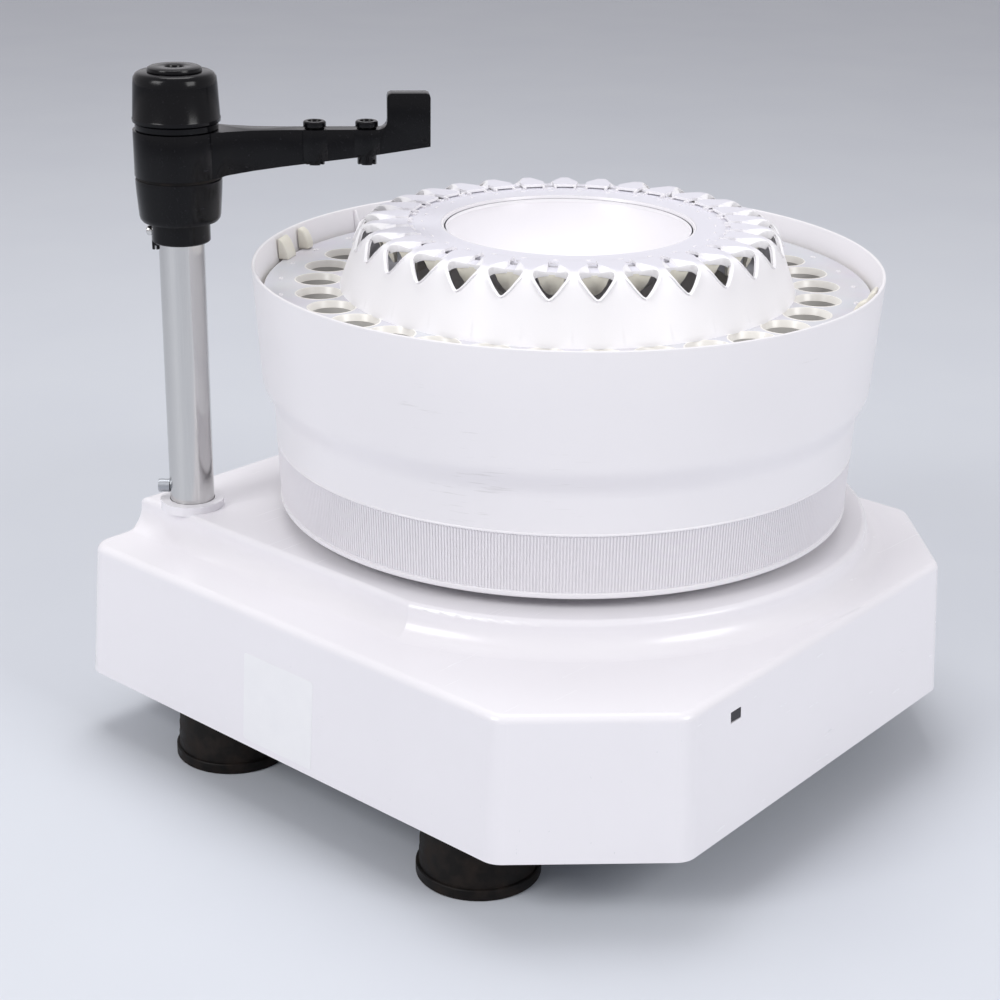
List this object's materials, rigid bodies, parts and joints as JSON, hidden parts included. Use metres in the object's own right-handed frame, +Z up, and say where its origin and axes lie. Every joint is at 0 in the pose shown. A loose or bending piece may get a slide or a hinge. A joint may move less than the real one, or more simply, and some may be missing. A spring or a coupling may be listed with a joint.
{
  "type": "fraction collector",
  "caption": "Bench fraction collector: a round tube bowl with a raised inner rack turns on a low moulded housing, under a swinging dispenser arm on a steel post.",
  "frame": {"origin": "on the bench, under the middle of the footprint", "axes": "+Z up, -Y out of the front face, +X to the right seen from the front; the post stands at the back left corner"},
  "size_m": [0.365, 0.3647, 0.3576],
  "materials": {
    "housing_white": "glossy",
    "bowl_white": "glossy",
    "tray_white": "satin",
    "crown_grey": "satin",
    "column_grey": "matte",
    "arm_black": "glossy",
    "washer_black": "satin",
    "foot_rubber": "matte",
    "mat_rubber": "matte",
    "belt_rubber": "matte",
    "post_steel": "polished",
    "screw_steel": "satin",
    "plate_steel": "satin",
    "shaft_steel": "ground",
    "drive_aluminium": "machined",
    "motor_black": "satin",
    "disc_black": "matte",
    "board_green": "satin",
    "socket_black": "satin",
    "window_dark": "glossy",
    "light_red": "satin"
  },
  "bodies": {
    "base": {"housing_shell": "housing_white", "base_plate": "plate_steel", "foot_front_left": "foot_rubber", "foot_back_left": "foot_rubber", "foot_front_right": "foot_rubber", "foot_back_right": "foot_rubber", "foot_screws": "screw_steel", "base_screws": "screw_steel", "bearing_block": "drive_aluminium", "lower_bearing": "shaft_steel", "upper_bearing": "shaft_steel", "drive_motor": "motor_black", "motor_bracket": "plate_steel", "motor_screws": "screw_steel", "drive_belt": "belt_rubber", "position_sensor": "disc_black", "control_board": "board_green", "board_standoffs": "plate_steel", "power_supply": "plate_steel", "power_inlet": "socket_black", "signal_socket": "socket_black", "status_window": "window_dark", "status_light": "light_red", "post_socket": "drive_aluminium", "support_post": "post_steel", "post_lock_screw": "screw_steel"},
    "drive": {"spindle": "shaft_steel", "spindle_pulley": "drive_aluminium", "encoder_disc": "disc_black", "turntable": "drive_aluminium", "drive_pins": "screw_steel"},
    "rotor": {"motor_shaft": "shaft_steel", "motor_pulley": "drive_aluminium"},
    "bowl": {"outer_bowl": "bowl_white", "tube_tray": "tray_white", "tube_guide": "tray_white", "tube_mat": "mat_rubber", "centre_column": "column_grey", "centre_dish": "bowl_white", "crown_rack": "crown_grey", "cradle_ring": "tray_white", "tray_latches": "bowl_white"},
    "head": {"clamp_collar": "arm_black", "lower_cup": "arm_black", "lower_washer": "washer_black", "head_sleeve": "washer_black"},
    "arm": {"dispenser_arm": "arm_black", "outer_tubing_holder": "arm_black", "inner_tubing_holder": "arm_black"},
    "knob": {"lock_knob": "arm_black", "knob_cap": "arm_black", "neck_ring": "washer_black"},
    "grip_screw": {"clamp_screw": "screw_steel"}
  },
  "joints": [
    {"name": "bowl_spin", "type": "hinge", "parent": "base", "child": "drive", "pos_m": [0.0175, 0.0145, 0.1], "axis": [0, 0, 1], "continuous": true},
    {"name": "motor_spin", "type": "hinge", "parent": "base", "child": "rotor", "pos_m": [-0.0705, -0.0475, 0.1], "axis": [0, 0, 1], "continuous": true},
    {"name": "bowl_lift", "type": "slide", "parent": "drive", "child": "bowl", "axis": [0, 0, 1], "range_m": [0, 0.012]},
    {"name": "head_height", "type": "slide", "parent": "base", "child": "head", "axis": [0, 0, 1], "range_m": [-0.012, 0.04]},
    {"name": "arm_swing", "type": "hinge", "parent": "head", "child": "arm", "pos_m": [-0.1295, 0.1505, 0.31], "axis": [0, 0, 1], "range_deg": [-50, 110]},
    {"name": "knob_turn", "type": "hinge", "parent": "head", "child": "knob", "pos_m": [-0.1295, 0.1505, 0.34], "axis": [0, 0, 1], "range_deg": [0, 150]},
    {"name": "grip_screw_turn", "type": "hinge", "parent": "head", "child": "grip_screw", "pos_m": [-0.1295, 0.1505, 0.2735], "axis": [-0.6691, 0.7431, 0], "range_deg": [-180, 180]}
  ],
  "couplings": [
    {"joint": "motor_spin", "follows": "bowl_spin", "ratio": 5}
  ]
}
